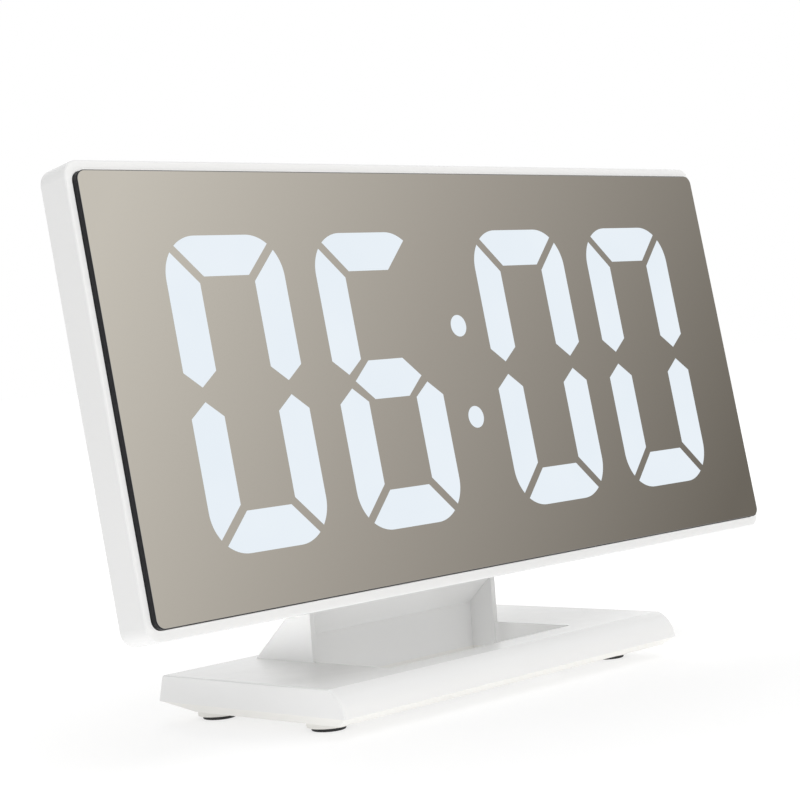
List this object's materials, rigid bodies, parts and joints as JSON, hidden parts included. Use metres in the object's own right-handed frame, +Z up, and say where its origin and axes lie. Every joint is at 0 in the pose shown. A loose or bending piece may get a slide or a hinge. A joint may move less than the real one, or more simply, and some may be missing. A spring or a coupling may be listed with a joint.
{
  "type": "digital led desk clock",
  "caption": "Wide mirror-faced digital desk clock with large lit segment digits in a slim white frame, tilting on a flat windowed base; buttons, battery door and power socket at the back.",
  "frame": {"origin": "on the table under the centre of the base", "axes": "+X along the clock's width, to the right as seen from the front; +Y to the back; +Z up"},
  "size_m": [0.19, 0.0566, 0.1133],
  "materials": {
    "white_gloss": "smooth glossy white",
    "plate_plastic": "fine satin white",
    "rear_plastic": "fine spark texture, white",
    "button_plastic": "satin light grey",
    "mirror": "half-silvered mirror with a dark edge",
    "black_film": "flat black",
    "lens": "milky diffuser, cool white when lit",
    "inner_white": "plain white",
    "board": "green solder mask",
    "led_resin": "yellow resin",
    "black_plastic": "moulded black",
    "steel": "bright plated",
    "brass": "plated",
    "cell_wrap": "plain printed wrap",
    "rubber": "flat black"
  },
  "bodies": {
    "stand": {"stand_shell": "white_gloss", "base_plate": "plate_plastic", "base_screws": "steel", "rubber_feet": "rubber"},
    "head": {"front_frame": "white_gloss", "rear_cover": "rear_plastic", "mirror_panel": "mirror", "mirror_tape": "black_film", "segment_mask": "black_film", "hour_tens_segments": "lens", "hour_units_segments": "lens", "minute_tens_segments": "lens", "minute_units_segments": "lens", "colon_lenses": "lens", "light_block": "inner_white", "led_board": "board", "main_board": "board", "led_chips": "led_resin", "clock_chip": "black_plastic", "buzzer": "black_plastic", "header_block": "black_plastic", "tact_switches": "black_plastic", "case_screws": "steel", "led_board_screws": "steel", "main_board_screws": "steel", "hinge_pin": "steel", "friction_washers": "steel", "usb_socket": "steel", "crystal": "steel", "battery_plates": "steel", "battery_springs": "steel", "header_pins": "brass", "battery_cells": "cell_wrap"},
    "battery_door": {"battery_door": "rear_plastic"},
    "snooze_button": {"snooze_button": "button_plastic"},
    "set_button": {"set_button": "button_plastic"},
    "up_button": {"up_button": "button_plastic"},
    "down_button": {"down_button": "button_plastic"}
  },
  "joints": [
    {"name": "head_tilt", "type": "hinge", "parent": "stand", "child": "head", "pos_m": [0, 0.00755, 0.031], "axis": [-1, 0, 0], "range_deg": [-5, 15]},
    {"name": "battery_door_slide", "type": "slide", "parent": "head", "child": "battery_door", "axis": [0, 0.1564, 0.9877], "range_m": [0, 0.042]},
    {"name": "snooze_press", "type": "slide", "parent": "head", "child": "snooze_button", "axis": [0, -0.9877, 0.1564], "range_m": [0, 0.0006], "stiffness_N_per_m": 900},
    {"name": "set_press", "type": "slide", "parent": "head", "child": "set_button", "axis": [0, -0.9877, 0.1564], "range_m": [0, 0.0006], "stiffness_N_per_m": 900},
    {"name": "up_press", "type": "slide", "parent": "head", "child": "up_button", "axis": [0, -0.9877, 0.1564], "range_m": [0, 0.0006], "stiffness_N_per_m": 900},
    {"name": "down_press", "type": "slide", "parent": "head", "child": "down_button", "axis": [0, -0.9877, 0.1564], "range_m": [0, 0.0006], "stiffness_N_per_m": 900}
  ]
}
